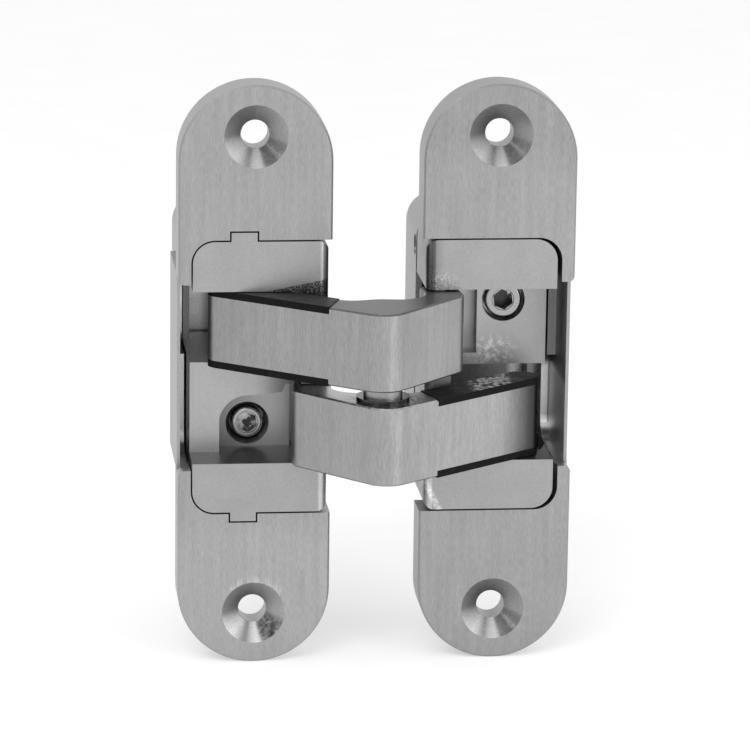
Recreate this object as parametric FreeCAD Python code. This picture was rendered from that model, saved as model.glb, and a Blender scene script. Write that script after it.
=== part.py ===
import FreeCAD, Part
import math
import os

# Concealed door hinge with two leaves and a pair of crossing arms, shown folded flat open.
# Millimetres. +Z is up, both faces look toward -Y, and the leaves go into the wood toward +Y.
# While it is drawn, Y is 0 on the faces. The finished nodes are moved so that the origin is the
# middle of the left leaf's screw holes, in the plane of the flange's back, which sits on the wood.
# Everything on the left leaf is drawn first. The right leaf and the lower arm are the same
# shapes turned half a turn about the hinge's own middle line, which runs along Y.
# A distance called "in" is measured from the left leaf's inner edge toward its far edge.

Vector = FreeCAD.Vector

# Leaf and its screw holes
leaf_length = 110.0
leaf_width = 28.5
leaf_gap = 16.8
flange_thickness = 8.0
edge_break = 0.35
screw_spacing = 90.8
screw_hole_diameter = 5.3
countersink_diameter = 11.8
countersink_angle = 90.0

# Pocket in the leaf that holds the carriage
pocket_far_rim = 2.4
pocket_corner_radius = 4.4
pocket_ledge = 0.7
leg_overlap = 1.6
leg_corner_radius = 1.2
cover_inset = 0.05
cover_thickness = 0.6
cover_front = 4.5
cover_back = 26.0

# Cup behind the leaf
cup_inset = 1.0
cup_half_height = 28.0
cup_corner_radius = 5.6
cup_wall = 1.2
rear_floor = 2.2
rear_edge_radius = 1.0
rear_room = 1.2
inner_window_depth = 19.5
inner_window_reach = 7.0
far_window_depth = 18.0
far_window_overlap = 1.9
far_window_deep = 25.0
far_window_deep_foot = 0.5
window_corner_radius = 4.0
side_slot_height = 4.0
side_slot_depth = 3.0
side_slot_y = 21.5
side_slot_drop = 5.2
slot_end_slack = 0.01

# Arm pivots and fold, worked out in the left leaf
face_gap_closed = 4.0
pivot_in = 3.4
pivot_y = 2.4
centre_y = -11.7
slide_far_distance = 10.3
slide_y = 4.4

# Arms
arm_height = 14.6
arm_gap = 3.0
arm_edge_break = 0.3
slide_end_radius = 3.2
slide_end_overhang = 1.5
limb_thickness = 7.0
apex_reach = 19.2
apex_radius = 4.5
apex_shift = -0.4
elbow_x = 12.5
elbow_y = 9.6
elbow_radius = 3.4
eye_radius = 3.6
boss_radius = 6.0
boss_fillet_radius = 5.0
fillet_slack = 0.25

# Pins, bushes, washer and roller
centre_pin_diameter = 7.2
centre_pin_half_length = 12.5
centre_bush_wall = 1.0
centre_washer_diameter = 9.8
centre_washer_thickness = 0.8
pivot_pin_diameter = 3.4
pivot_pin_end_cover = 2.3
pivot_bush_wall = 0.8
slide_pin_diameter = 2.4
slide_pin_grip = 9.0
roller_diameter = 4.0
roller_height = 2.2
running_clearance = 0.03
end_clearance = 0.3
groove_steps = 12
groove_nudge = 1e-4

# Nylon glide plates on the long limbs
glide_thickness = 1.2
glide_proud = 0.15
glide_length = 25.0
glide_end_angle = 20.0

# Carriage
carriage_clearance = 0.3
cheek_clearance = 0.3
shelf_top_z = 1.0
column_foot_z = -1.2
column_in = 5.6
carriage_depth = 34.2
front_part_depth = 16.0
carriage_corner_radius = 4.1
carriage_inner_corner_radius = 2.0
carriage_front_edge_radius = 1.8
carriage_rear_corner_radius = 3.0
side_web = 1.8
far_web = 1.2
far_web_start = 28.3
column_depth = 8.0
groove_clearance = 0.15
groove_depth = 2.6
eye_pocket_depth = 17.0
floor_depth = 13.3
shelf_depth = 8.8
shelf_width = 5.6
arch_foot_z = -9.9
arch_top_in = 14.0
arch_top_z = -5.5
arch_nose_in = 8.4
arch_nose_z = -4.9
arch_notch_z = -3.3
arch_notch_slant = 0.6
core_start = 26.0
core_wall = 1.8
screw_boss_diameter = 11.0

# Left carriage: fits the pocket and slides in depth
left_inner_in = 0.6
left_rear_inner_in = 2.5
left_rear_clearance = 0.4
left_floor_start_in = 6.6
tab_width = 4.8
tab_height = 1.7
tab_in = 16.3
tab_length = 6.0
tab_clearance = 0.3

# Right carriage: narrower, slides sideways
right_inner_in = 0.8
right_far_clearance = 0.9
right_rear_inner_in = 3.2
right_rear_clearance = 1.1
right_floor_start_in = 12.0

# Adjusting screws
left_head_diameter = 5.9
right_head_diameter = 7.0
screw_head_height = 4.0
screw_head_edge_radius = 0.5
left_recess_diameter = 6.9
left_recess_mouth_diameter = 8.2
left_recess_mouth_depth = 1.1
right_recess_diameter = 8.2
screw_recess_depth = 4.6
depth_travel = 1.0
left_shank_diameter = 5.0
right_shank_diameter = 7.8
hex_across_flats = 3.5
hex_depth = 3.2
hex_mouth = 0.1
hex_turn = 38.0
left_screw_far_distance = 13.9
left_screw_z = -11.9
right_screw_far_distance = 11.5
right_screw_z = -11.4
left_journal_diameter = 3.4
right_stub_diameter = 3.0
eccentricity = 0.9
eccentric_half_turn = 45.0
slot_clearance = 0.06
ring_thickness = 0.8
ring_diameter = 6.4
ring_recess_depth = 1.1
ring_room = 0.5
ring_back_gap = 0.15
journal_back_gap = 0.1
shank_end_gap = 0.05

half_width = leaf_width / 2
half_length = leaf_length / 2
middle_x = half_width + leaf_gap / 2
housing_depth = carriage_depth + rear_room + rear_floor
rear_inside = housing_depth - rear_floor
arm_bottom = arm_gap / 2
arm_top = arm_bottom + arm_height
cheek_z = arm_top + cheek_clearance
leg_end_z = arm_top + leg_overlap
far_window_half_height = arm_top + far_window_overlap
pocket_far_in = leaf_width - pocket_far_rim
pocket_half_height = cup_half_height - cup_wall - pocket_ledge
carriage_half_height = pocket_half_height - carriage_clearance
side_slot_z = carriage_half_height - side_slot_drop
pivot_pin_half_length = carriage_half_height - pivot_pin_end_cover
slide_in = leaf_width - slide_far_distance
cup_far_inside = leaf_width - cup_inset - cup_wall
cover_in = leaf_width - cover_inset - cover_thickness
left_outer_in = pocket_far_in - carriage_clearance
left_rear_outer_in = cup_far_inside - left_rear_clearance
right_outer_in = pocket_far_in - right_far_clearance
right_rear_outer_in = cup_far_inside - right_rear_clearance
shelf_edge_in = left_outer_in - shelf_width
left_screw_in = leaf_width - left_screw_far_distance
right_screw_in = leaf_width - right_screw_far_distance
groove_half_width = roller_diameter / 2 + groove_clearance
beyond = 1.0
far_beyond = 8.0
tiny = 1e-6


def at_in(distance):
    """X of a point this far in from the left leaf's inner edge."""
    return half_width - distance


def box(in_0, in_1, y_0, y_1, z_0, z_1):
    corner = Vector(at_in(in_1), y_0, z_0)
    return Part.makeBox(in_1 - in_0, y_1 - y_0, z_1 - z_0, corner)


def edges_along(shape, axis):
    """Straight edges of a shape that run along one axis."""
    found = []
    for edge in shape.Edges:
        if edge.Curve.TypeId == "Part::GeomLine":
            direction = edge.tangentAt(edge.FirstParameter)
            if abs(abs(direction.dot(axis)) - 1.0) < tiny:
                found.append(edge)
    return found


def rounded_box(in_0, in_1, y_0, y_1, z_0, z_1, radius, axis):
    block = box(in_0, in_1, y_0, y_1, z_0, z_1)
    return block.makeFillet(radius, edges_along(block, axis))


def round_y(distance_in, z, radius, y_0, y_1):
    """Cylinder along Y at a place on the leaf."""
    base = Vector(at_in(distance_in), y_0, z)
    return Part.makeCylinder(radius, y_1 - y_0, base, Vector(0, 1, 0))


def round_z(centre, radius, z_0, z_1):
    """Cylinder along Z round a point of the plan view."""
    base = Vector(centre.x, centre.y, z_0)
    return Part.makeCylinder(radius, z_1 - z_0, base, Vector(0, 0, 1))


def turned_over(shape):
    """The same shape half a turn about the hinge's middle line."""
    copy = shape.copy()
    copy.rotate(Vector(middle_x, 0, 0), Vector(0, 1, 0), 180)
    return copy


# Fold: the lower arm turns about the left pivot and the upper arm's long limb slides in the left leaf.
left_pivot = Vector(at_in(pivot_in), pivot_y, 0)
right_pivot = Vector(2 * middle_x - left_pivot.x, pivot_y, 0)
centre_open = Vector(middle_x, centre_y, 0)
slide_open = Vector(at_in(slide_in), slide_y, 0)
apex_centre = Vector(middle_x + apex_shift, apex_radius - apex_reach, 0)


def fold_angles():
    """Degrees that the lower arm and the upper arm turn between open and closed, seen in the left leaf."""
    reach = centre_open.sub(left_pivot)
    drop = face_gap_closed / 2 + pivot_y
    side = math.sqrt(reach.Length ** 2 - drop ** 2)
    start = math.atan2(reach.y, reach.x)
    end = math.atan2(-drop, -side)
    lower = math.degrees(start - end)
    return lower, 180.0 - lower


lower_turn, upper_turn = fold_angles()


def turned(vector, degrees):
    """A plan vector turned clockwise, the way the hinge closes."""
    angle = -math.radians(degrees)
    x = vector.x * math.cos(angle) - vector.y * math.sin(angle)
    y = vector.x * math.sin(angle) + vector.y * math.cos(angle)
    return Vector(x, y, 0)


def slide_place(fold):
    """Where the slide pin stands in the left leaf, with fold from 0, open, to 1, closed."""
    centre = left_pivot.add(turned(centre_open.sub(left_pivot), lower_turn * fold))
    limb = turned(slide_open.sub(centre_open), upper_turn * fold)
    return centre.add(limb)


def tangent(first, second):
    """Tangent line between two circles (centre, radius, sense), going round each in its sense."""
    centre_1, radius_1, sense_1 = first
    centre_2, radius_2, sense_2 = second
    signed_1 = radius_1 * sense_1
    signed_2 = radius_2 * sense_2
    span = centre_2.sub(centre_1)
    lean = math.asin((signed_2 - signed_1) / span.Length)
    heading = math.atan2(span.y, span.x) - lean
    normal = Vector(-math.sin(heading), math.cos(heading), 0)
    return centre_1.sub(normal * signed_1), centre_2.sub(normal * signed_2)


def belt(circles):
    """Closed outline that runs round a list of circles by arcs and tangent lines."""
    lines = []
    for index, circle in enumerate(circles):
        lines.append(tangent(circle, circles[(index + 1) % len(circles)]))
    edges = []
    for index, (centre, radius, sense) in enumerate(circles):
        arrive = lines[index - 1][1]
        leave = lines[index][0]
        start = math.atan2(arrive.y - centre.y, arrive.x - centre.x)
        end = math.atan2(leave.y - centre.y, leave.x - centre.x)
        sweep = (end - start) * sense % (2 * math.pi) * sense
        half = start + sweep / 2
        middle = centre.add(Vector(math.cos(half), math.sin(half), 0) * radius)
        edges.append(Part.Arc(arrive, middle, leave).toShape())
        edges.append(Part.LineSegment(leave, lines[index][1]).toShape())
    return Part.Face(Part.Wire(edges))


def meeting_circle(centre_1, reach_1, centre_2, reach_2):
    """Point at set distances from two centres, on the left of the way from the first to the second."""
    span = centre_2.sub(centre_1)
    along = (reach_1 ** 2 - reach_2 ** 2 + span.Length ** 2) / (2 * span.Length)
    across = math.sqrt(reach_1 ** 2 - along ** 2)
    ahead = Vector(span).normalize()
    left = Vector(-ahead.y, ahead.x, 0)
    return centre_1.add(ahead * along).add(left * across)


def lifted(face, z_0, z_1):
    """Plan face raised into a solid between two heights."""
    moved = face.copy()
    moved.translate(Vector(0, 0, z_0))
    return moved.extrude(Vector(0, 0, z_1 - z_0))


def limb_end():
    """Middle of the long limb's round end, a little beyond the slide pin."""
    away = slide_open.sub(centre_open).normalize()
    return slide_open.add(away * slide_end_overhang)


def limb_frame():
    """Start, direction and rear normal of the front line of the long limb."""
    start, end = tangent((limb_end(), slide_end_radius, 1), (apex_centre, apex_radius, 1))
    ahead = end.sub(start).normalize()
    return start, ahead, Vector(-ahead.y, ahead.x, 0)


def arm_outline():
    """Upper arm in plan: long limb to the left, rounded apex, elbow, short limb and its eye."""
    start, ahead, rear = limb_frame()
    elbow = centre_open.add(Vector(elbow_x, elbow_y, 0))
    reach_boss = boss_radius + boss_fillet_radius + fillet_slack
    reach_eye = eye_radius + boss_fillet_radius + fillet_slack
    inner_fillet = meeting_circle(centre_open, reach_boss, right_pivot, reach_eye)
    front_offset = start.sub(centre_open).dot(rear)
    across = front_offset + limb_thickness + boss_fillet_radius
    along = -math.sqrt(reach_boss ** 2 - across ** 2)
    limb_fillet = centre_open.add(rear * across).add(ahead * along)
    return belt([
        (limb_end(), slide_end_radius, 1),
        (apex_centre, apex_radius, 1),
        (elbow, elbow_radius, 1),
        (right_pivot, eye_radius, 1),
        (inner_fillet, boss_fillet_radius, -1),
        (centre_open, boss_radius, 1),
        (limb_fillet, boss_fillet_radius, -1),
    ])


def glide_face():
    """Part of the arm's plan that the nylon plates cover, cut off on a slant near the apex."""
    start, ahead, rear = limb_frame()
    lean = math.radians(glide_end_angle)
    slant = Vector(math.sin(lean), math.cos(lean), 0)
    back = start.sub(ahead * far_beyond)
    front = start.add(ahead * glide_length)
    depth = limb_thickness + far_beyond
    corners = [back.sub(rear * far_beyond), front.sub(slant * far_beyond), front.add(slant * depth),
               back.add(rear * depth), back.sub(rear * far_beyond)]
    window = Part.Face(Part.makePolygon(corners))
    return arm_outline().common(window)


def arm():
    body = lifted(arm_outline(), arm_bottom, arm_top)
    rims = [edge for edge in body.Edges if edge.BoundBox.ZLength < tiny]
    body = body.makeChamfer(arm_edge_break, rims)
    glide = glide_face()
    body = body.cut(lifted(glide, arm_bottom - beyond, arm_bottom + glide_thickness))
    body = body.cut(lifted(glide, arm_top - glide_thickness, arm_top + beyond))
    bush_radius = centre_pin_diameter / 2 + centre_bush_wall
    body = body.cut(round_z(centre_open, bush_radius, 0, centre_pin_half_length + end_clearance))
    eye_bore = pivot_pin_diameter / 2 + pivot_bush_wall
    body = body.cut(round_z(right_pivot, eye_bore, 0, arm_top + beyond))
    grip_start = arm_top - slide_pin_grip
    return body.cut(round_z(slide_open, slide_pin_diameter / 2, grip_start, arm_top + beyond))


def lower_arm():
    """The upper arm turned over, with a tighter bore that grips the centre pin."""
    sleeve = round_z(centre_open, centre_pin_diameter / 2 + centre_bush_wall, arm_bottom,
                     centre_pin_half_length + end_clearance)
    bore = round_z(centre_open, centre_pin_diameter / 2, 0, centre_pin_half_length)
    return turned_over(arm().fuse(sleeve).cut(bore).removeSplitter())


def bottom_glide():
    face = glide_face()
    return lifted(face, arm_bottom - glide_proud, arm_bottom + glide_thickness)


def top_glide():
    plate = lifted(glide_face(), arm_top - glide_thickness, arm_top + glide_proud)
    return plate.cut(round_z(slide_open, slide_pin_diameter / 2, arm_bottom, arm_top + beyond))


def tube(centre, inner_radius, outer_radius, z_0, z_1):
    return round_z(centre, outer_radius, z_0, z_1).cut(round_z(centre, inner_radius, z_0, z_1))


def centre_pin():
    pin = round_z(centre_open, centre_pin_diameter / 2, -centre_pin_half_length, centre_pin_half_length)
    rims = [edge for edge in pin.Edges if edge.Curve.TypeId == "Part::GeomCircle"]
    return pin.makeChamfer(arm_edge_break, rims)


def centre_bush():
    bore = centre_pin_diameter / 2 + running_clearance
    outside = centre_pin_diameter / 2 + centre_bush_wall
    return tube(centre_open, bore, outside, arm_bottom, centre_pin_half_length)


def centre_washer():
    """Loose washer round the centre pin, lying on the lower arm."""
    bore = centre_pin_diameter / 2 + running_clearance
    bottom = -arm_bottom
    return tube(centre_open, bore, centre_washer_diameter / 2, bottom, bottom + centre_washer_thickness)


def pivot_pin():
    return round_z(left_pivot, pivot_pin_diameter / 2, -pivot_pin_half_length, pivot_pin_half_length)


def pivot_bush():
    """Bush in the lower arm's eye, on the left pivot pin."""
    bore = pivot_pin_diameter / 2 + running_clearance
    outside = pivot_pin_diameter / 2 + pivot_bush_wall
    return tube(left_pivot, bore, outside, -arm_top, -arm_bottom)


def slide_pin():
    top = cheek_z + groove_depth - end_clearance
    return round_z(slide_open, slide_pin_diameter / 2, arm_top - slide_pin_grip, top)


def slide_roller():
    top = cheek_z + groove_depth - end_clearance
    bore = slide_pin_diameter / 2 + running_clearance
    return tube(slide_open, bore, roller_diameter / 2, top - roller_height, top)


def slide_heading(fold):
    """Direction in which the slide pin moves at this fold."""
    return slide_place(fold + groove_nudge).sub(slide_place(fold - groove_nudge)).normalize()


def slide_groove():
    """Curved groove under the upper cheek that the roller follows, worked out from the fold."""
    left_side = []
    right_side = []
    for step in range(groove_steps + 1):
        fold = step / groove_steps
        ahead = slide_heading(fold)
        side = Vector(-ahead.y, ahead.x, 0) * groove_half_width
        here = slide_place(fold)
        left_side.append(here.add(side))
        right_side.append(here.sub(side))
    edges = []
    for points in (left_side, right_side):
        curve = Part.BSplineCurve()
        curve.interpolate(points)
        edges.append(curve.toShape())
    for fold, sign in ((0.0, -1), (1.0, 1)):
        tip = slide_place(fold).add(slide_heading(fold) * (groove_half_width * sign))
        index = 0 if sign < 0 else -1
        edges.append(Part.Arc(left_side[index], tip, right_side[index]).toShape())
    face = Part.Face(Part.Wire(Part.__sortEdges__(edges)))
    return lifted(face, cheek_z - beyond, cheek_z + groove_depth)


def stadium():
    """Leaf plate with full round ends and a softened front edge."""
    end = half_length - half_width
    plate = box(0, leaf_width, 0, flange_thickness, -end, end)
    for z in (-end, end):
        plate = plate.fuse(round_y(half_width, z, half_width, 0, flange_thickness))
    plate = plate.removeSplitter()
    rim = [edge for edge in plate.Edges if edge.BoundBox.YMax < tiny]
    return plate.makeChamfer(edge_break, rim)


def screw_hole(z):
    drop = (countersink_diameter - screw_hole_diameter) / 2
    drop = drop / math.tan(math.radians(countersink_angle / 2))
    base = Vector(0, 0, z)
    cone = Part.makeCone(countersink_diameter / 2, screw_hole_diameter / 2, drop, base, Vector(0, 1, 0))
    return cone.fuse(round_y(half_width, z, screw_hole_diameter / 2, 0, flange_thickness))


def leg_end_cut():
    """Front of the leaf's outer side cut back between the legs, whose end corners are rounded."""
    cut = box(pocket_far_in - far_beyond, leaf_width + beyond, -beyond, cover_front, -leg_end_z, leg_end_z)
    radius = leg_corner_radius
    for z, low in ((leg_end_z, leg_end_z), (-leg_end_z, -leg_end_z - radius)):
        corner = box(leaf_width - radius, leaf_width + beyond, -beyond, cover_front, low, low + radius)
        centre_z = z + math.copysign(radius, z)
        cut = cut.fuse(corner.cut(round_y(leaf_width - radius, centre_z, radius, -beyond, cover_front)))
    return cut


def housing(notched):
    """Leaf plate and the cup behind it, cast as one piece."""
    along_x = Vector(1, 0, 0)
    along_y = Vector(0, 1, 0)
    cup_far = leaf_width - cup_inset
    cup = rounded_box(cup_inset, cup_far, flange_thickness, housing_depth,
                      -cup_half_height, cup_half_height, cup_corner_radius, along_y)
    rear_rim = [edge for edge in cup.Edges if edge.BoundBox.YMin > housing_depth - tiny]
    body = stadium().fuse(cup.makeFillet(rear_edge_radius, rear_rim))
    cover_end = leg_end_z + beyond
    body = body.fuse(box(cup_far - cup_wall / 2, leaf_width - cover_inset, flange_thickness, cover_back,
                         -cover_end, cover_end))
    inside = cup_half_height - cup_wall
    body = body.cut(rounded_box(cup_inset + cup_wall, cup_far_inside, flange_thickness, rear_inside,
                                -inside, inside, cup_corner_radius - cup_wall, along_y))
    body = body.cut(rounded_box(-far_beyond, pocket_far_in, -beyond, flange_thickness,
                                -pocket_half_height, pocket_half_height, pocket_corner_radius, along_y))
    body = body.cut(leg_end_cut())
    body = body.cut(box(pocket_far_in - far_beyond, leaf_width + beyond, -beyond, flange_thickness,
                        -leg_end_z, leg_end_z))
    body = body.cut(rounded_box(-beyond, inner_window_reach, flange_thickness - far_beyond,
                                inner_window_depth, -pocket_half_height, pocket_half_height,
                                window_corner_radius, along_x))
    for depth, foot in ((far_window_depth, -far_window_half_height), (far_window_deep, far_window_deep_foot)):
        body = body.cut(rounded_box(cup_far_inside - beyond, cover_in,
                                    flange_thickness - far_beyond, depth, foot, far_window_half_height,
                                    window_corner_radius, along_x))
    body = body.fuse(box(cover_in, leaf_width - cover_inset, cover_front, cover_back, -cover_end, cover_end))
    for z in (-screw_spacing / 2, screw_spacing / 2):
        body = body.cut(screw_hole(z))
    for z in (-side_slot_z, side_slot_z):
        body = body.cut(rounded_box(-beyond, cup_inset + cup_wall + beyond, side_slot_y - side_slot_depth / 2,
                                    side_slot_y + side_slot_depth / 2, z - side_slot_height / 2,
                                    z + side_slot_height / 2, side_slot_depth / 2 - slot_end_slack, along_x))
    if notched:
        half = tab_width / 2 + tab_clearance
        top = carriage_half_height + tab_height + tab_clearance
        body = body.cut(box(tab_in - half, tab_in + half, -beyond, flange_thickness, -top, top))
    return body.removeSplitter()


def left_housing():
    body = housing(True)
    body = body.cut(round_y(left_screw_in, left_screw_z, left_journal_diameter / 2 + running_clearance,
                            rear_inside, housing_depth))
    ring = ring_diameter / 2 + ring_room
    return body.cut(round_y(left_screw_in, left_screw_z, ring, housing_depth - ring_recess_depth, housing_depth))


def slot(distance_in, z, radius, half_travel, y_0, y_1):
    """Upright slot through the rear floor."""
    shape = box(distance_in - radius, distance_in + radius, y_0, y_1, z - half_travel, z + half_travel)
    for end in (-half_travel, half_travel):
        shape = shape.fuse(round_y(distance_in, z + end, radius, y_0, y_1))
    return shape


def right_housing():
    """Right leaf, with an upright slot in its rear floor for the eccentric screw."""
    body = housing(False)
    travel = eccentricity * (1 - math.cos(math.radians(eccentric_half_turn))) / 2
    stub_z = right_screw_z + eccentricity - travel
    body = body.cut(slot(right_screw_in, stub_z, right_stub_diameter / 2 + slot_clearance, travel,
                         rear_inside, housing_depth))
    body = body.cut(slot(right_screw_in, stub_z, ring_diameter / 2 + ring_room, travel,
                         housing_depth - ring_recess_depth, housing_depth))
    return turned_over(body)


def shelf_cut():
    """Left carriage's recess: a shelf at the far side, arched over the screw, and a deeper floor."""
    foot = -cheek_z
    points = [
        Vector(at_in(shelf_edge_in), 0, foot),
        Vector(at_in(shelf_edge_in), 0, arch_foot_z),
        Vector(at_in(arch_top_in), 0, arch_top_z),
        Vector(at_in(arch_nose_in), 0, arch_nose_z),
        Vector(at_in(arch_nose_in - arch_notch_slant), 0, arch_notch_z),
        Vector(at_in(left_floor_start_in - beyond), 0, arch_notch_z),
        Vector(at_in(left_floor_start_in - beyond), 0, foot),
    ]
    rise = arch_top_z - arch_foot_z
    spread = shelf_edge_in - arch_top_in
    slant = math.sqrt(0.5)
    over = Vector(at_in(arch_top_in + spread * slant), 0, arch_foot_z + rise * slant)
    edges = [Part.LineSegment(points[0], points[1]).toShape(), Part.Arc(points[1], over, points[2]).toShape()]
    for first, second in zip(points[2:], points[3:] + points[:1]):
        edges.append(Part.LineSegment(first, second).toShape())
    deep = Part.Face(Part.Wire(edges)).extrude(Vector(0, floor_depth, 0))
    shelf = box(column_in, left_outer_in + beyond, -beyond, shelf_depth, foot, shelf_top_z)
    return shelf.fuse(deep)


def plain_cut():
    """Right carriage's recess: one flat floor out to the far side."""
    return box(column_in, right_outer_in + beyond, -beyond, floor_depth, -cheek_z, shelf_top_z)


def screw_seat(distance_in, z, diameter, end):
    """Bore for the head of an adjusting screw, from the recess's floor."""
    return round_y(distance_in, z, diameter / 2, floor_depth - tiny, end)


def carriage(inner, outer, rear_inner, rear_outer, recess, floor_start, screw_in, screw_z, shank_diameter, seat):
    """Block with an open pocket for one arm's long limb above and a recess for the other arm below."""
    along_y = Vector(0, 1, 0)
    half = carriage_half_height
    block = box(inner, outer, 0, front_part_depth, -half, half)
    far_edges = [edge for edge in edges_along(block, along_y) if edge.CenterOfMass.x < 0]
    block = block.makeFillet(carriage_corner_radius, far_edges)
    near_edges = [edge for edge in edges_along(block, along_y) if edge.CenterOfMass.x > 0]
    block = block.makeFillet(carriage_inner_corner_radius, near_edges)
    eased = box(inner, outer, 0, front_part_depth, -half, half)
    near_front = [edge for edge in edges_along(eased, Vector(0, 0, 1))
                  if edge.BoundBox.YMax < tiny and edge.CenterOfMass.x > 0]
    block = block.common(eased.makeFillet(carriage_front_edge_radius, near_front))
    rear = rounded_box(rear_inner, rear_outer, front_part_depth, carriage_depth, -half, half,
                       carriage_rear_corner_radius, along_y)
    body = block.fuse(rear)
    body = body.cut(box(column_in, outer + far_beyond, -beyond, far_web_start, shelf_top_z, cheek_z))
    body = body.cut(box(rear_inner + side_web, rear_outer - far_web, column_depth, carriage_depth + beyond,
                        shelf_top_z, cheek_z))
    body = body.cut(slide_groove())
    body = body.cut(recess)
    body = body.cut(box(-beyond, floor_start, -beyond, eye_pocket_depth, -cheek_z, column_foot_z))
    core = box(rear_inner + core_wall, rear_outer - core_wall, core_start, carriage_depth + beyond,
               -half + core_wall, shelf_top_z - core_wall)
    body = body.cut(core.cut(round_y(screw_in, screw_z, screw_boss_diameter / 2, core_start, carriage_depth)))
    body = body.cut(seat)
    body = body.cut(round_y(screw_in, screw_z, shank_diameter / 2 + running_clearance, 0,
                            carriage_depth + beyond))
    return body.cut(pivot_pin())


def left_carriage():
    """Carriage with a shelf, and a tab above and below that slides in the leaf's notches."""
    mouth = Part.makeCone(left_recess_mouth_diameter / 2, left_recess_diameter / 2, left_recess_mouth_depth,
                          Vector(at_in(left_screw_in), floor_depth, left_screw_z), Vector(0, 1, 0))
    seat = mouth.fuse(screw_seat(left_screw_in, left_screw_z, left_recess_diameter,
                                 floor_depth + screw_recess_depth + depth_travel))
    body = carriage(left_inner_in, left_outer_in, left_rear_inner_in, left_rear_outer_in, shelf_cut(),
                    left_floor_start_in, left_screw_in, left_screw_z, left_shank_diameter, seat)
    for z in (-carriage_half_height - tab_height, carriage_half_height - beyond):
        tab = box(tab_in - tab_width / 2, tab_in + tab_width / 2, 0, tab_length, z, z + tab_height + beyond)
        body = body.fuse(tab)
    return body.removeSplitter()


def right_carriage():
    """Carriage with one flat recess, half a turn about the middle line from the left one."""
    seat = screw_seat(right_screw_in, right_screw_z, right_recess_diameter, floor_depth + screw_recess_depth)
    return turned_over(carriage(right_inner_in, right_outer_in, right_rear_inner_in, right_rear_outer_in,
                                plain_cut(), right_floor_start_in, right_screw_in, right_screw_z,
                                right_shank_diameter, seat))


def hexagon_socket(distance_in, z, y_0):
    """Six-sided key socket with a small coned mouth."""
    corner = hex_across_flats / math.sqrt(3)
    points = []
    for corner_number in range(7):
        angle = math.radians(60 * corner_number + hex_turn)
        points.append(Vector(at_in(distance_in) + corner * math.cos(angle), y_0, z + corner * math.sin(angle)))
    socket = Part.Face(Part.makePolygon(points)).extrude(Vector(0, hex_depth, 0))
    mouth = Part.makeCone(corner + hex_mouth, corner, hex_mouth, Vector(at_in(distance_in), y_0, z),
                          Vector(0, 1, 0))
    return socket.fuse(mouth)


def screw_body(distance_in, z, head_diameter, shank_diameter, shank_end):
    head_front = floor_depth + screw_recess_depth - end_clearance - screw_head_height
    head_back = head_front + screw_head_height
    head = round_y(distance_in, z, head_diameter / 2, head_front, head_back)
    rim = [edge for edge in head.Edges if edge.BoundBox.YMax < head_front + tiny]
    head = head.makeFillet(screw_head_edge_radius, rim)
    screw = head.fuse(round_y(distance_in, z, shank_diameter / 2, head_back, shank_end))
    return screw.cut(hexagon_socket(distance_in, z, head_front))


def left_adjusting_screw():
    """Screw that stays in the left housing and draws the carriage in or out."""
    shank_end = rear_inside - shank_end_gap
    screw = screw_body(left_screw_in, left_screw_z, left_head_diameter, left_shank_diameter, shank_end)
    journal = round_y(left_screw_in, left_screw_z, left_journal_diameter / 2, shank_end,
                      housing_depth - journal_back_gap)
    return screw.fuse(journal).removeSplitter()


def ring(distance_in, z, bore):
    back = housing_depth - ring_back_gap
    front = back - ring_thickness
    disc = round_y(distance_in, z, ring_diameter / 2, front, back)
    return disc.cut(round_y(distance_in, z, bore, front, back))


def left_screw_ring():
    return ring(left_screw_in, left_screw_z, left_journal_diameter / 2)


def right_adjusting_screw():
    """Screw whose off-centre stub pushes the right housing sideways."""
    screw = screw_body(right_screw_in, right_screw_z, right_head_diameter, right_shank_diameter,
                       rear_inside - end_clearance)
    stub = round_y(right_screw_in, right_screw_z + eccentricity, right_stub_diameter / 2,
                   rear_inside - end_clearance, housing_depth - journal_back_gap)
    return turned_over(screw.fuse(stub).removeSplitter())


def right_screw_ring():
    return turned_over(ring(right_screw_in, right_screw_z + eccentricity, right_stub_diameter / 2))


nodes = {
    "left_housing": left_housing(),
    "right_housing": right_housing(),
    "left_carriage": left_carriage(),
    "right_carriage": right_carriage(),
    "upper_arm": arm(),
    "lower_arm": lower_arm(),
    "centre_pin": centre_pin(),
    "centre_bush": centre_bush(),
    "centre_washer": centre_washer(),
    "upper_arm_top_glide": top_glide(),
    "upper_arm_bottom_glide": bottom_glide(),
    "lower_arm_top_glide": turned_over(bottom_glide()),
    "lower_arm_bottom_glide": turned_over(top_glide()),
    "left_pivot_pin": pivot_pin(),
    "right_pivot_pin": turned_over(pivot_pin()),
    "lower_pivot_bush": pivot_bush(),
    "upper_pivot_bush": turned_over(pivot_bush()),
    "upper_slide_pin": slide_pin(),
    "lower_slide_pin": turned_over(slide_pin()),
    "upper_slide_roller": slide_roller(),
    "lower_slide_roller": turned_over(slide_roller()),
    "left_adjusting_screw": left_adjusting_screw(),
    "right_adjusting_screw": right_adjusting_screw(),
    "left_screw_ring": left_screw_ring(),
    "right_screw_ring": right_screw_ring(),
}

os.makedirs("parts", exist_ok=True)
for name, shape in nodes.items():
    shape.translate(Vector(0, -flange_thickness, 0))
    shape.exportStep("parts/" + name + ".step")
    print(name, len(shape.Solids), shape.isValid(), round(shape.Volume, 1))
print("lower arm turns", round(lower_turn, 3), "upper arm turns", round(upper_turn, 3))
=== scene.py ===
import math

import bpy
from mathutils import Matrix, Vector

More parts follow.
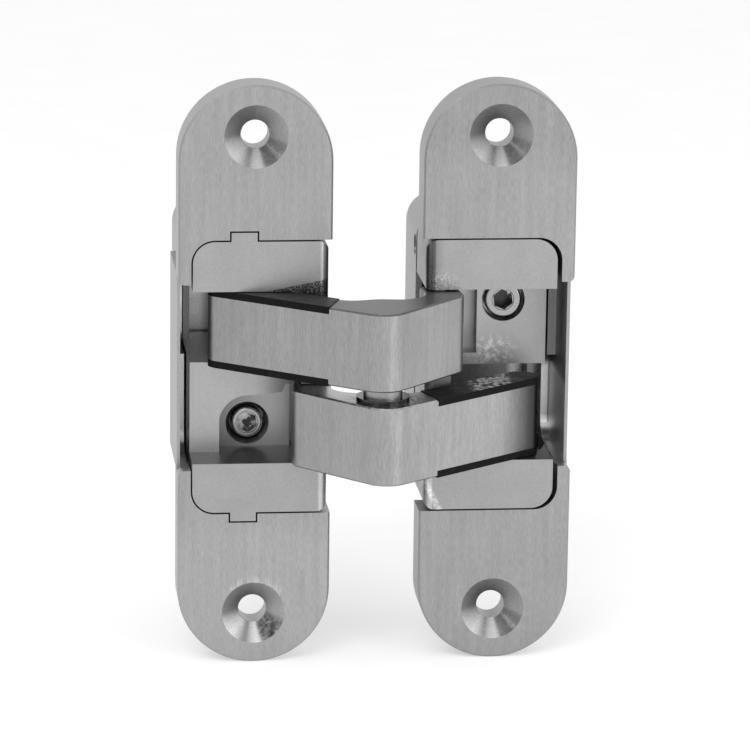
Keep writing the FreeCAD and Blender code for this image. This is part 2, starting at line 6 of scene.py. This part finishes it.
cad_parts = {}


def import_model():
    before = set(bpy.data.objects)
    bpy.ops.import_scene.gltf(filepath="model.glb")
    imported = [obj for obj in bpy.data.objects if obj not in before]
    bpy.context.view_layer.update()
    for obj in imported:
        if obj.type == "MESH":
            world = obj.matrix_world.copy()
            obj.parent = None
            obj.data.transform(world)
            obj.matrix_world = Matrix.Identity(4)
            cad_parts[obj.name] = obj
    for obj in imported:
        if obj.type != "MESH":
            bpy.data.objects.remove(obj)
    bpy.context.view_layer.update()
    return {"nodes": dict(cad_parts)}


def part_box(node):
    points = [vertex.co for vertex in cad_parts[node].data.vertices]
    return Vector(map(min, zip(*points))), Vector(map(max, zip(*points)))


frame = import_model()
nodes = frame["nodes"]
scene = bpy.context.scene

MM = 0.001
HOLE_Z = 45.4 * MM
COUNTERSINK_RADIUS = 5.9 * MM
HOLE_RADIUS = 2.65 * MM
SOCKET_RADIUS = 2.1 * MM

left_low, left_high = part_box("left_housing")
right_low, right_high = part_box("right_housing")
pin_low, pin_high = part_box("centre_pin")
FACE_Y = left_low.y
LEFT_HOLE_X = (left_low.x + left_high.x) / 2
RIGHT_HOLE_X = (right_low.x + right_high.x) / 2
FLOOR_Z = left_low.z
PIN_AXIS = (pin_low + pin_high) / 2
MIDDLE = Vector(((left_low.x + right_high.x) / 2, FACE_Y, 0))

# Camera: distance in metres, angles in degrees, and aim beside the middle in millimetres
CAMERA_DISTANCE = 0.8
CAMERA_AZIMUTH = -6.22
CAMERA_ELEVATION = 13.66
CAMERA_ROLL = 0.77
CAMERA_AIM = (-0.24, 0.31)
CAMERA_NEAR = 0.01
FOCAL_PIXELS = 4300.0
PICTURE_PIXELS = 750.0
SENSOR_WIDTH = 36.0

# Floor and sky: half the floor's side, the share of pure white seen on it, and the sky's strength as light
FLOOR_HALF = 6.0
FLOOR_GLOW = 0.45
SKY_LIGHT = 0.95

# Noise lies mostly between these values
NOISE_LOW = 0.3
NOISE_HIGH = 0.7
NOISE_ROUGHNESS = 0.6
# Brush marks: noise cells in a metre along X, Y and Z, and their share
FINE_MARKS = (7000.0, 7000.0, 700.0)
FINE_SHARE = 0.65
BROAD_MARKS = (900.0, 900.0, 60.0)
BROAD_SHARE = 0.35

HOUSING_SHADE = 0.32
CARRIAGE_SHADE = 0.335
NYLON_SHADE = 0.006
NYLON_DUST = (0.02, 0.02, 0.02)
NYLON_GREASE = (0.30, 0.30, 0.29)

# Countersinks: soft limits of the painted cone at its rim and its bottom, and its painted light from low to
# high
CONE_RIM = (COUNTERSINK_RADIUS + 0.02 * MM, COUNTERSINK_RADIUS - 0.06 * MM)
CONE_BOTTOM = (HOLE_RADIUS, HOLE_RADIUS + 0.15 * MM)
CONE_TONES = (0.98, 1.12)
# Direction in degrees, half width in degrees and gain of each painted reflection sector, light or dark, of a
# countersink
CONE_SECTORS = ((215, 38, 0.95), (272, 17, 0.60), (303, 24, -0.55), (335, 16, -0.30), (318, 7, 0.25))
# Direction and half width in degrees of a darker smeared sector in each countersink, and how dark it is on
# both
DARK_SMEAR_SECTOR = (312, 36)
DARK_SMEAR_BASE = 0.25
RINGS_PER_METRE = 5200.0
HALO_WIDTH = 1.8 * MM

# Housing: where painted light and shade change its tone toward its upper and lower end
UPPER_END = (36.0 * MM, 46.0 * MM)
LOWER_END = (-22.0 * MM, -34.0 * MM)
# Soft limits of the painted light inside the cup, from its far side and from the leaf's face
INSIDE_START = (0.8 * MM, 1.0 * MM)
INSIDE_END = (8.0 * MM, 6.0 * MM)
INSIDE_DEPTH = (FACE_Y + 1.5 * MM, FACE_Y + 3.0 * MM)
# Heights where the painted light inside the cup's far side changes, and its gains below and above them, a
# negative gain being painted shade
INSIDE_PAINTED_LIGHT = {1: (7.0 * MM, 10.0 * MM, 1.3, 2.1), -1: (-4.0 * MM, -2.0 * MM, 2.1, -0.20)}

# Carriage: gains of the painted highlight and shade on the rounded inner edge, as bright and dark band
# above, bright and dark band below
EDGE_TONES = {1: (0.30, -0.50, 0.45, -0.10), -1: (-0.45, -0.10, 0.45, -0.05)}
# Where the painted highlight band of that edge ends above and below the middle, as the normal's share along
# X
UPPER_BRIGHT_END = {1: 0.40, -1: 0.62}
LOWER_BRIGHT_END = 0.62
EDGE_SPECKLE = -0.15
# Heights below which the lower block's upward faces take painted shade, and its gain
LOWER_SHELF = (-12.0 * MM, -14.0 * MM)
LOWER_SHELF_GAIN = -0.55
# Depth of the floor between the blocks, how far from the carriage's sides its painted light and shade hold,
# and their gains
FLOOR_DEPTH = (FACE_Y + 9.5 * MM, FACE_Y + 12.0 * MM)
FLOOR_MARGIN = 7.0 * MM
FLOOR_TONES = {1: (-0.35, 0.25), -1: (0.30, 0.02)}
BLOCK_FRONT = (FACE_Y + 3.0 * MM, FACE_Y + 2.0 * MM)

# Left block: the painted shade wedge's upper edge starts at this X and Z and climbs along X, over the arm's
# slot
WEDGE_X = 1.6 * MM
WEDGE_Z = 16.4 * MM
WEDGE_CLIMB = 0.197
SLOT_TOP = (13.0 * MM, 13.2 * MM)
# The arch: its depth, the gains of its painted light and shade from left to right, and the painted light on
# the ledge at the middle height
ARCH_DEPTH = (FACE_Y + 6.5 * MM, FACE_Y + 10.5 * MM)
ARCH_GAINS = (0.13, -0.42)
LEDGE_HEIGHTS = (-3.0 * MM, 3.0 * MM)
LEDGE_GAIN = 2.0

# Right block: middles of the specks and of the grease pool, and how much each axis counts round them
SPECKS_PLACE = (32.0 * MM, 0.0, 17.0 * MM)
SPECKS_SHAPE = (0.55, 0.0, 1.0)
POOL_PLACE = (46.0 * MM, 0.0, 1.4 * MM)
POOL_SHAPE = (0.62, 0.0, 0.9)
POOL_DEPTH = (FACE_Y + 11.0 * MM, FACE_Y + 15.0 * MM)
# The slanting painted highlight streak on the lower block: its limits at the middle height, its lean and its
# upper end
STREAK_LIMITS = (21.0 * MM, 22.8 * MM)
STREAK_LEAN = 0.5
STREAK_END = (-18.0 * MM, -20.0 * MM)
SPECKS_GAIN = 0.95
CORNER_GAIN = -0.55
STREAK_GAIN = 0.75
POOL_GAIN = 0.75

# Arms: reach of the grease round the pin, how dark and how glossy it is, and where painted light changes the
# tone along X
GREASE_REACH = (9.0 * MM, 4.5 * MM)
GREASE_GAIN = -0.93
GREASE_SHINE = 0.2
RIGHT_START = (22.0 * MM, 34.0 * MM)


class Graph:
    """Short calls for building one material's nodes."""

    def __init__(self, name):
        self.material = bpy.data.materials.new(name)
        self.material.use_nodes = True
        self.tree = self.material.node_tree
        self.shader = self.tree.nodes["Principled BSDF"]
        coords = self.tree.nodes.new("ShaderNodeTexCoord")
        self.place = coords.outputs["Object"]
        self.normal = coords.outputs["Normal"]

    def link(self, source, target):
        """Give a socket a number, or the output of another node."""
        if isinstance(source, (int, float)):
            target.default_value = source
        else:
            self.tree.links.new(source, target)

    def give(self, inputs):
        """Set or link the shader's inputs by name."""
        for name, value in inputs.items():
            self.link(value, self.shader.inputs[name])

    def math(self, operation, first, second=0.0, clamp=False):
        node = self.tree.nodes.new("ShaderNodeMath")
        node.operation = operation
        node.use_clamp = clamp
        self.link(first, node.inputs[0])
        self.link(second, node.inputs[1])
        return node.outputs[0]

    def stretch(self, scale, source=None):
        """Coordinates scaled along each axis."""
        node = self.tree.nodes.new("ShaderNodeMapping")
        node.inputs["Scale"].default_value = scale
        self.link(source or self.place, node.inputs["Vector"])
        return node.outputs[0]

    def noise(self, vector, scale=1.0, detail=4.0):
        node = self.tree.nodes.new("ShaderNodeTexNoise")
        node.inputs["Scale"].default_value = scale
        node.inputs["Detail"].default_value = detail
        node.inputs["Roughness"].default_value = NOISE_ROUGHNESS
        self.link(vector, node.inputs["Vector"])
        return node.outputs["Fac"]

    def split(self, vector):
        node = self.tree.nodes.new("ShaderNodeSeparateXYZ")
        self.link(vector, node.inputs[0])
        return node.outputs

    def step(self, value, low, high, out_low=0.0, out_high=1.0):
        """Soft step from one output at the first limit to another at the second."""
        node = self.tree.nodes.new("ShaderNodeMapRange")
        node.interpolation_type = "SMOOTHSTEP"
        for socket, number in zip(node.inputs[1:5], (low, high, out_low, out_high)):
            socket.default_value = number
        self.link(value, node.inputs[0])
        return node.outputs[0]

    def spread(self, noise, low, high):
        """Noise spread between two values."""
        return self.step(noise, NOISE_LOW, NOISE_HIGH, low, high)

    def times(self, *values):
        product = values[0]
        for value in values[1:]:
            product = self.math("MULTIPLY", product, value)
        return product

    def plus(self, *values):
        total = values[0]
        for value in values[1:]:
            total = self.math("ADD", total, value)
        return total

    def gain(self, *factors):
        """1 plus the product of masks and a gain."""
        return self.plus(1.0, self.times(*factors))

    def apart(self, value, place):
        """How far a coordinate is from a place, to either side."""
        return self.math("ABSOLUTE", self.math("SUBTRACT", value, place))

    def band(self, value, rise, fall, soft):
        """1 between two limits and 0 outside them, with soft ends."""
        return self.times(self.step(value, rise, rise + soft), self.step(value, fall, fall - soft))

    def lobe(self, across, up, degrees, half_angle):
        """1 in one direction of a plan turning round a centre, 0 beyond the half angle."""
        angle = math.radians(degrees)
        along = self.plus(self.times(across, math.cos(angle)), self.times(up, math.sin(angle)))
        return self.step(along, math.cos(math.radians(half_angle)), 1.0)

    def looks_up(self, facing):
        return self.step(facing[2], 0.5, 0.8)

    def looks_forward(self, facing):
        return self.step(facing[1], -0.5, -0.9)

    def mix(self, factor, first, second):
        """Blend two colours or two numbers, where a tuple is a colour."""
        node = self.tree.nodes.new("ShaderNodeMix")
        node.data_type = "RGBA"
        self.link(factor, node.inputs["Factor"])
        for value, socket in ((first, node.inputs[6]), (second, node.inputs[7])):
            if isinstance(value, tuple):
                socket.default_value = (*value, 1.0)
            else:
                self.link(value, socket)
        return node.outputs[2]

    def grey(self, value):
        node = self.tree.nodes.new("ShaderNodeCombineXYZ")
        for socket in node.inputs:
            self.link(value, socket)
        return node.outputs[0]

    def bump(self, height, strength, distance):
        node = self.tree.nodes.new("ShaderNodeBump")
        node.inputs["Strength"].default_value = strength
        node.inputs["Distance"].default_value = distance
        self.link(height, node.inputs["Height"])
        return node.outputs[0]

    def distance(self, centre, flatten):
        """Distance from a point, where each axis counts by its share and 0 leaves it out."""
        shift = self.tree.nodes.new("ShaderNodeVectorMath")
        shift.operation = "SUBTRACT"
        self.link(self.place, shift.inputs[0])
        shift.inputs[1].default_value = centre
        scaled = self.stretch(flatten, shift.outputs[0])
        length = self.tree.nodes.new("ShaderNodeVectorMath")
        length.operation = "LENGTH"
        self.link(scaled, length.inputs[0])
        return length.outputs["Value"]


def brushed(graph):
    """Fine upright brushing: short thin lines over broader, fainter streaks."""
    fine = graph.noise(graph.stretch(FINE_MARKS), detail=2.0)
    broad = graph.noise(graph.stretch(BROAD_MARKS), detail=3.0)
    return graph.plus(graph.times(fine, FINE_SHARE), graph.times(broad, BROAD_SHARE))


def metal(graph, shade, roughness, height, relief=0.2, depth=0.02 * MM):
    """Finish a plain grey metal from its shade, roughness and small relief."""
    graph.give({"Base Color": graph.grey(shade), "Roughness": roughness, "Metallic": 1.0,
                "Normal": graph.bump(height, relief, depth)})
    return graph.material


def countersink(graph, position, facing, hole_x, dark_smear_gain):
    """Mask of both countersinks, tone of their turned cones with painted light and painted reflections in
    sectors, and mask of the halo over the lower one.
    """
    across = graph.math("SUBTRACT", position[0], hole_x)
    centre = graph.times(graph.math("SIGN", position[2]), HOLE_Z)
    up = graph.math("SUBTRACT", position[2], centre)
    radius = graph.math("SQRT", graph.plus(graph.times(across, across), graph.times(up, up)))
    side = graph.math("DIVIDE", across, radius)
    rise = graph.math("DIVIDE", up, radius)
    not_behind = graph.step(facing[1], 0.3, 0.1)
    cone = graph.times(graph.step(radius, *CONE_RIM), graph.step(radius, *CONE_BOTTOM), not_behind)
    # Painted light: lighter toward the top of the cone, then painted reflections as light and dark sectors
    # round it
    tone = graph.step(rise, -0.5, 1.0, *CONE_TONES)
    for degrees, half_angle, gain in CONE_SECTORS:
        tone = graph.plus(tone, graph.times(graph.lobe(side, rise, degrees, half_angle), gain))
    rings = graph.noise(graph.grey(graph.times(radius, RINGS_PER_METRE)), detail=2.0)
    grain = graph.noise(graph.place, scale=3200.0, detail=3.0)
    tone = graph.times(tone, graph.spread(rings, 0.94, 1.06), graph.spread(grain, 0.90, 1.10))
    below = graph.step(position[2], 0.0, -1.0 * MM)
    smear = graph.noise(graph.place, scale=950.0)
    # Darker smeared sector, deeper in the lower countersink by its gain
    dark_smear = graph.times(graph.lobe(side, rise, *DARK_SMEAR_SECTOR), graph.step(smear, 0.36, 0.64),
                       graph.plus(DARK_SMEAR_BASE, graph.times(below, dark_smear_gain)))
    tone = graph.times(tone, graph.math("SUBTRACT", 1.0, dark_smear, clamp=True))
    halo = graph.times(graph.step(radius, COUNTERSINK_RADIUS + HALO_WIDTH, COUNTERSINK_RADIUS),
                       graph.step(rise, 0.0, 0.8), below, graph.looks_forward(facing))
    return cone, tone, halo


def housing_material(name, hole_x, far_x, side, halo_gain, dark_smear_gain, top_gain, low_gain):
    """Leaf and cup, where side is 1 if the cup's far wall looks to +X from inside."""
    graph = Graph(name)
    position = graph.split(graph.place)
    facing = graph.split(graph.normal)
    front = graph.step(facing[1], -0.90, -0.985)
    on_face = graph.times(front, graph.step(position[1], FACE_Y + 0.5 * MM, FACE_Y + 0.2 * MM))
    streaks = brushed(graph)
    grain = graph.noise(graph.place, scale=5200.0, detail=2.0)
    clouds = graph.noise(graph.place, scale=70.0, detail=2.0)
    pattern = graph.mix(on_face, graph.grey(grain), graph.grey(streaks))
    tone = graph.times(graph.spread(pattern, 0.86, 1.14), graph.spread(clouds, 0.98, 1.02))
    cone, cone_tone, halo = countersink(graph, position, facing, hole_x, dark_smear_gain)
    tone = graph.plus(tone, graph.times(halo, halo_gain, graph.step(streaks, 0.40, 0.60)))
    tone = graph.mix(cone, graph.grey(tone), graph.grey(cone_tone))
    # Painted light inside the cup's far side and on the cover's front, with slight painted shade higher up
    # on the right leaf
    from_far = graph.apart(position[0], far_x)
    cover_front = graph.times(front, graph.step(from_far, *INSIDE_START))
    inward = graph.math("MAXIMUM", graph.step(graph.times(facing[0], side), 0.3, 0.6), cover_front)
    inside = graph.times(inward, graph.step(from_far, *INSIDE_END), graph.step(position[1], *INSIDE_DEPTH))
    inside_painted_light = graph.gain(inside, graph.step(position[2], *INSIDE_PAINTED_LIGHT[side]))
    # Painted light and shade toward the upper and lower end of the leaf
    painted_end_light = graph.plus(1.0, graph.step(position[2], *UPPER_END, 0.0, top_gain),
                      graph.step(position[2], *LOWER_END, 0.0, low_gain))
    shade = graph.times(tone, inside_painted_light, painted_end_light, HOUSING_SHADE)
    return metal(graph, shade, graph.spread(pattern, 0.34, 0.44), pattern)


def left_painted_light(graph, position, facing, grain):
    """Painted shade as a dark wedge over the arm's slot, painted light and shade across the arch, and
    painted light on a ledge at the middle.
    """
    slope = graph.plus(graph.times(graph.math("SUBTRACT", position[0], WEDGE_X), WEDGE_CLIMB), WEDGE_Z)
    # Painted shade: dark grainy wedge over the arm's slot
    wedge = graph.times(graph.step(graph.math("SUBTRACT", slope, position[2]), -0.15 * MM, 0.30 * MM),
                        graph.step(position[2], *SLOT_TOP), graph.step(position[0], 1.0 * MM, 3.0 * MM),
                        graph.step(position[1], *BLOCK_FRONT))
    # Painted light and shade across the arch, lighter at the left and darker at the right
    arch = graph.times(graph.band(position[1], *ARCH_DEPTH, 0.5 * MM),
                       graph.step(position[0], 0.0, 6.5 * MM, *ARCH_GAINS))
    # Painted light on the upward ledge at the middle height
    ledge = graph.times(graph.looks_up(facing), graph.band(position[2], *LEDGE_HEIGHTS, 0.5 * MM))
    return graph.times(graph.gain(wedge, graph.step(grain, 0.50, 0.62, -0.85, -0.10)),
                       graph.gain(arch, graph.looks_forward(facing)), graph.gain(ledge, LEDGE_GAIN))


def right_grime_and_highlight(graph, position, facing, grain):
    """Specks and a dark corner on the upper block, a painted highlight streak on the lower one and grease on
    the floor.
    """
    specks = graph.times(graph.step(graph.distance(SPECKS_PLACE, SPECKS_SHAPE), 4.2 * MM, 1.0 * MM),
                         graph.step(grain, 0.50, 0.58))
    corner = graph.times(graph.step(position[0], 35.5 * MM, 31.5 * MM),
                         graph.step(position[2], 0.0, 1.0 * MM))
    slant = graph.plus(position[0], graph.times(position[2], STREAK_LEAN))
    # Painted highlight: slanting bright streak on the lower block
    streak = graph.times(graph.band(slant, *STREAK_LIMITS, 0.6 * MM), graph.step(grain, 0.36, 0.56),
                         graph.step(position[2], *STREAK_END))
    marks = graph.plus(graph.times(specks, SPECKS_GAIN), graph.times(corner, CORNER_GAIN),
                       graph.times(streak, STREAK_GAIN))
    smear = graph.noise(graph.place, scale=1100.0)
    pool = graph.times(graph.step(graph.distance(POOL_PLACE, POOL_SHAPE), 3.6 * MM, 1.0 * MM),
                       graph.step(smear, 0.46, 0.62), graph.band(position[1], *POOL_DEPTH, 1.0 * MM))
    return graph.times(graph.gain(graph.step(position[1], *BLOCK_FRONT), marks),
                       graph.gain(pool, graph.looks_forward(facing), POOL_GAIN))


def painted_edge_light(graph, inward, bright_end, bright, dark):
    """Painted highlight and shade round the inner edge: a bright band, then a dark one as the normal turns
    inward.
    """
    bright_band = graph.band(inward, 0.05, bright_end, 0.12)
    dark_band = graph.step(inward, bright_end - 0.07, bright_end + 0.08)
    return graph.plus(1.0, graph.times(bright_band, bright), graph.times(dark_band, dark))


def carriage_material(name, side, low_x, high_x, grime_and_painted_light):
    """Cast block, where side is 1 if its inner edge looks to +X and -1 if it looks to -X."""
    graph = Graph(name)
    position = graph.split(graph.place)
    facing = graph.split(graph.normal)
    grain = graph.noise(graph.place, scale=4200.0, detail=3.0)
    clouds = graph.noise(graph.place, scale=160.0, detail=3.0)
    speckle = graph.step(graph.noise(graph.place, scale=2600.0, detail=3.0), 0.42, 0.58)
    specks = graph.noise(graph.place, scale=3800.0, detail=3.0)
    tone = graph.times(graph.spread(grain, 0.94, 1.06), graph.spread(clouds, 0.97, 1.03))
    inward = graph.times(facing[0], side)
    top_bright, top_dark, low_bright, low_dark = EDGE_TONES[side]
    # Painted highlight and shade bands round the inner edge, above and below the middle
    top_edge = painted_edge_light(graph, inward, UPPER_BRIGHT_END[side], top_bright, top_dark)
    low_edge = painted_edge_light(graph, inward, LOWER_BRIGHT_END, low_bright, low_dark)
    upper = graph.step(position[2], 0.0, 1.0 * MM)
    edge = graph.mix(upper, graph.grey(low_edge), graph.grey(top_edge))
    # Painted shade on the lower block's upward faces
    painted_shelf_shade = graph.gain(graph.looks_up(facing), graph.step(position[2], *LOWER_SHELF), LOWER_SHELF_GAIN)
    # Painted light and shade across the floor between the blocks
    painted_floor_light = graph.gain(graph.step(position[1], *FLOOR_DEPTH), graph.looks_forward(facing),
                            graph.step(position[0], low_x, high_x, *FLOOR_TONES[side]))
    speckled = graph.gain(graph.step(inward, 0.3, 0.5), speckle, EDGE_SPECKLE)
    shade = graph.times(tone, edge, grime_and_painted_light(graph, position, facing, specks), painted_shelf_shade, painted_floor_light, speckled,
                        CARRIAGE_SHADE)
    return metal(graph, shade, graph.spread(clouds, 0.36, 0.42), grain)


def arm_material(name, shade, end_x, end_reach, end_dark, top_gain, right_gain, grease):
    """Brushed arm with painted shade toward its far end, painted light and shade on its top faces, painted
    light toward its right end, and grease round the pin on its top.
    """
    graph = Graph(name)
    position = graph.split(graph.place)
    facing = graph.split(graph.normal)
    streaks = brushed(graph)
    grain = graph.noise(graph.place, scale=4600.0, detail=2.0)
    clouds = graph.noise(graph.place, scale=90.0, detail=2.0)
    smear = graph.noise(graph.place, scale=900.0)
    side = graph.step(graph.math("ABSOLUTE", facing[2]), 0.5, 0.3)
    top = graph.looks_up(facing)
    pattern = graph.mix(side, graph.grey(grain), graph.grey(streaks))
    tone = graph.times(graph.spread(pattern, 0.84, 1.16), graph.spread(clouds, 0.97, 1.03))
    # Painted shade toward the arm's far end
    painted_end_shade = graph.times(side, graph.step(graph.apart(position[0], end_x), end_reach, 0.0, 0.0, end_dark))
    near = graph.step(graph.distance(PIN_AXIS, (1.0, 1.0, 0.0)), *GREASE_REACH)
    film = graph.math("MULTIPLY", graph.times(near, top, graph.step(smear, 0.42, 0.60)), grease, clamp=True)
    # Painted light toward the right end, and below, painted light and shade on the top faces by top_gain
    right = graph.step(position[0], *RIGHT_START, 1.0, 1.0 + right_gain)
    level = graph.times(graph.math("SUBTRACT", 1.0, painted_end_shade), graph.gain(top, top_gain), right)
    colour = graph.times(tone, level, graph.gain(film, GREASE_GAIN), shade)
    rough = graph.math("SUBTRACT", graph.spread(pattern, 0.30, 0.42), graph.times(film, GREASE_SHINE))
    return metal(graph, colour, rough, pattern)


def steel_material(name, shade, roughness, socket=None):
    """Turned and polished metal with faint rings and spots, and painted shade with bright blotches in the
    socket where one is given.
    """
    graph = Graph(name)
    rings = graph.noise(graph.stretch((900.0, 900.0, 3800.0)), detail=2.0)
    spots = graph.noise(graph.place, scale=700.0, detail=3.0)
    tone = graph.times(graph.spread(rings, 0.92, 1.06), graph.spread(spots, 0.94, 1.04))
    if socket is not None:
        inside = graph.step(graph.distance(socket, (1.0, 0.0, 1.0)), SOCKET_RADIUS, SOCKET_RADIUS - 0.1 * MM)
        deep = graph.step(graph.split(graph.place)[1], socket.y + 0.15 * MM, socket.y + 0.35 * MM)
        smear = graph.noise(graph.place, scale=620.0, detail=3.0)
        # Painted shade inside the socket, broken by bright blotches
        socket_shade = graph.step(smear, 0.49, 0.60, 0.14, 1.25)
        tone = graph.mix(graph.times(inside, deep), graph.grey(tone), graph.grey(socket_shade))
    rough = graph.spread(spots, roughness * 0.8, roughness * 1.3)
    return metal(graph, graph.times(tone, shade), rough, rings, relief=0.15, depth=0.01 * MM)


def nylon_material(name, grease_x=None):
    """Black moulded nylon with painted shade on its front and side faces from a lower specular level, and a
    glossy smear of grease where a place is given.
    """
    graph = Graph(name)
    facing = graph.split(graph.normal)
    grain = graph.noise(graph.place, scale=3000.0, detail=3.0)
    smear = graph.noise(graph.place, scale=420.0, detail=3.0)
    shade = graph.times(graph.spread(grain, 0.8, 1.2), NYLON_SHADE)
    colour = graph.mix(graph.step(smear, 0.56, 0.75, 0.0, 0.35), graph.grey(shade), NYLON_DUST)
    rough = graph.spread(smear, 0.42, 0.55)
    # Painted shade: front and side faces get a lower specular level than tops and bottoms
    shine = graph.step(graph.math("ABSOLUTE", facing[2]), 0.3, 0.7, 0.05, 0.20)
    if grease_x is not None:
        blots = graph.noise(graph.place, scale=1200.0)
        away = graph.apart(graph.split(graph.place)[0], grease_x)
        wet = graph.times(graph.step(away, 5.0 * MM, 2.5 * MM), graph.step(blots, 0.44, 0.60),
                          graph.looks_up(facing))
        colour = graph.mix(wet, colour, NYLON_GREASE)
        rough = graph.math("SUBTRACT", rough, graph.times(wet, 0.22))
    graph.give({"Base Color": colour, "Roughness": rough, "Specular IOR Level": shine,
                "Normal": graph.bump(grain, 0.2, 0.03 * MM)})
    return graph.material


def socket_of(name):
    """Middle of an adjusting screw's front."""
    low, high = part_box(name)
    return Vector(((low.x + high.x) / 2, low.y, (low.z + high.z) / 2))


def dress(names, material):
    for name in names:
        nodes[name].data.materials.clear()
        nodes[name].data.materials.append(material)


dress(["left_housing"],
      housing_material("left_satin", LEFT_HOLE_X, left_low.x, side=1, halo_gain=0.32, dark_smear_gain=0.512,
                       top_gain=0.0, low_gain=0.14))
dress(["right_housing"],
      housing_material("right_satin", RIGHT_HOLE_X, right_high.x, side=-1, halo_gain=0.0, dark_smear_gain=0.0,
                       top_gain=-0.09, low_gain=0.0))
for name, side, grime_and_painted_light in (("left_carriage", 1, left_painted_light), ("right_carriage", -1, right_grime_and_highlight)):
    low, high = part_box(name)
    dress([name], carriage_material(name + "_satin", side, low.x + FLOOR_MARGIN, high.x - FLOOR_MARGIN,
                                    grime_and_painted_light))
dress(["upper_arm"],
      arm_material("upper_arm_satin", shade=0.30, end_x=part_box("upper_arm")[0].x, end_reach=8.0 * MM,
                   end_dark=0.08, top_gain=-0.68, right_gain=0.22, grease=0.15))
dress(["lower_arm"],
      arm_material("lower_arm_satin", shade=0.32, end_x=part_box("lower_arm")[1].x, end_reach=9.0 * MM,
                   end_dark=0.90, top_gain=0.45, right_gain=0.16, grease=1.0))
dress(["centre_pin", "left_pivot_pin", "right_pivot_pin", "upper_slide_pin", "lower_slide_pin"],
      steel_material("polished_steel", shade=0.30, roughness=0.30))
dress(["left_screw_ring", "right_screw_ring"], steel_material("bright_nickel", shade=0.36, roughness=0.26))
for name in ("left_adjusting_screw", "right_adjusting_screw"):
    dress([name], steel_material(name + "_nickel", shade=0.36, roughness=0.26, socket=socket_of(name)))
dress(["centre_washer"], steel_material("oiled_steel", shade=0.045, roughness=0.16))
dress(["upper_arm_top_glide", "upper_arm_bottom_glide", "lower_arm_bottom_glide", "centre_bush",
       "lower_pivot_bush", "upper_pivot_bush", "upper_slide_roller", "lower_slide_roller"],
      nylon_material("black_nylon"))
dress(["lower_arm_top_glide"], nylon_material("greased_nylon", grease_x=44.0 * MM))


def seen_directly(tree):
    """1 for camera, glossy and transmission rays, 0 for others."""
    path = tree.nodes.new("ShaderNodeLightPath")
    seen = path.outputs["Is Camera Ray"]
    for output in ("Is Glossy Ray", "Is Transmission Ray"):
        larger = tree.nodes.new("ShaderNodeMath")
        larger.operation = "MAXIMUM"
        tree.links.new(seen, larger.inputs[0])
        tree.links.new(path.outputs[output], larger.inputs[1])
        seen = larger.outputs[0]
    return seen


def floor():
    """Pale floor that looks nearly white and still takes a soft shadow."""
    mesh = bpy.data.meshes.new("floor")
    corners = [(x * FLOOR_HALF, y * FLOOR_HALF, FLOOR_Z) for x, y in ((-1, -1), (1, -1), (1, 1), (-1, 1))]
    mesh.from_pydata(corners, [], [(0, 1, 2, 3)])
    plane = bpy.data.objects.new("floor", mesh)
    scene.collection.objects.link(plane)
    graph = Graph("floor_white")
    mottle = graph.noise(graph.place, scale=40.0, detail=2.0)
    graph.give({"Base Color": graph.grey(graph.spread(mottle, 0.93, 0.95)), "Roughness": 0.9,
                "Specular IOR Level": 0.1})
    glow = graph.tree.nodes.new("ShaderNodeEmission")
    blend = graph.tree.nodes.new("ShaderNodeMixShader")
    graph.link(graph.times(seen_directly(graph.tree), FLOOR_GLOW), blend.inputs[0])
    graph.link(graph.shader.outputs[0], blend.inputs[1])
    graph.link(glow.outputs[0], blend.inputs[2])
    graph.link(blend.outputs[0], graph.tree.nodes["Material Output"].inputs["Surface"])
    mesh.materials.append(graph.material)


def world():
    """White studio sky, a little weaker as light than as it is seen."""
    sky = bpy.data.worlds.new("studio")
    scene.world = sky
    sky.use_nodes = True
    tree = sky.node_tree
    background = tree.nodes["Background"]
    background.inputs["Color"].default_value = (1.0, 1.0, 1.0, 1.0)
    strength = tree.nodes.new("ShaderNodeMapRange")
    strength.inputs["To Min"].default_value = SKY_LIGHT
    strength.inputs["To Max"].default_value = 1.0
    tree.links.new(seen_directly(tree), strength.inputs["Value"])
    tree.links.new(strength.outputs[0], background.inputs["Strength"])


def lamp(name, place, size, power):
    """Soft box beside the middle of the hinge, turned toward it."""
    light = bpy.data.lights.new(name, "AREA")
    light.shape = "RECTANGLE"
    light.size, light.size_y = size
    light.energy = power
    lamp_object = bpy.data.objects.new(name, light)
    scene.collection.objects.link(lamp_object)
    lamp_object.location = MIDDLE + Vector(place)
    lamp_object.rotation_euler = (MIDDLE - lamp_object.location).to_track_quat("-Z", "Y").to_euler()


def camera():
    azimuth = math.radians(CAMERA_AZIMUTH)
    elevation = math.radians(CAMERA_ELEVATION)
    away = Vector((math.sin(azimuth) * math.cos(elevation), -math.cos(azimuth) * math.cos(elevation),
                   math.sin(elevation)))
    data = bpy.data.cameras.new("camera")
    data.lens = SENSOR_WIDTH * FOCAL_PIXELS / PICTURE_PIXELS
    data.clip_start = CAMERA_NEAR
    eye = bpy.data.objects.new("camera", data)
    scene.collection.objects.link(eye)
    eye.location = MIDDLE + away * CAMERA_DISTANCE
    aim = MIDDLE + Vector((CAMERA_AIM[0], 0, CAMERA_AIM[1])) * MM
    turn = (aim - eye.location).to_track_quat("-Z", "Y").to_matrix().to_4x4()
    turn.translation = eye.location
    eye.matrix_world = turn @ Matrix.Rotation(math.radians(CAMERA_ROLL), 4, "Z")
    scene.camera = eye


scene.view_settings.view_transform = "Standard"
floor()
world()
lamp("key", place=(-0.25, -0.55, 0.50), size=(0.5, 0.4), power=3.0)
lamp("fill", place=(0.45, -0.45, 0.20), size=(0.4, 0.5), power=1.5)
camera()
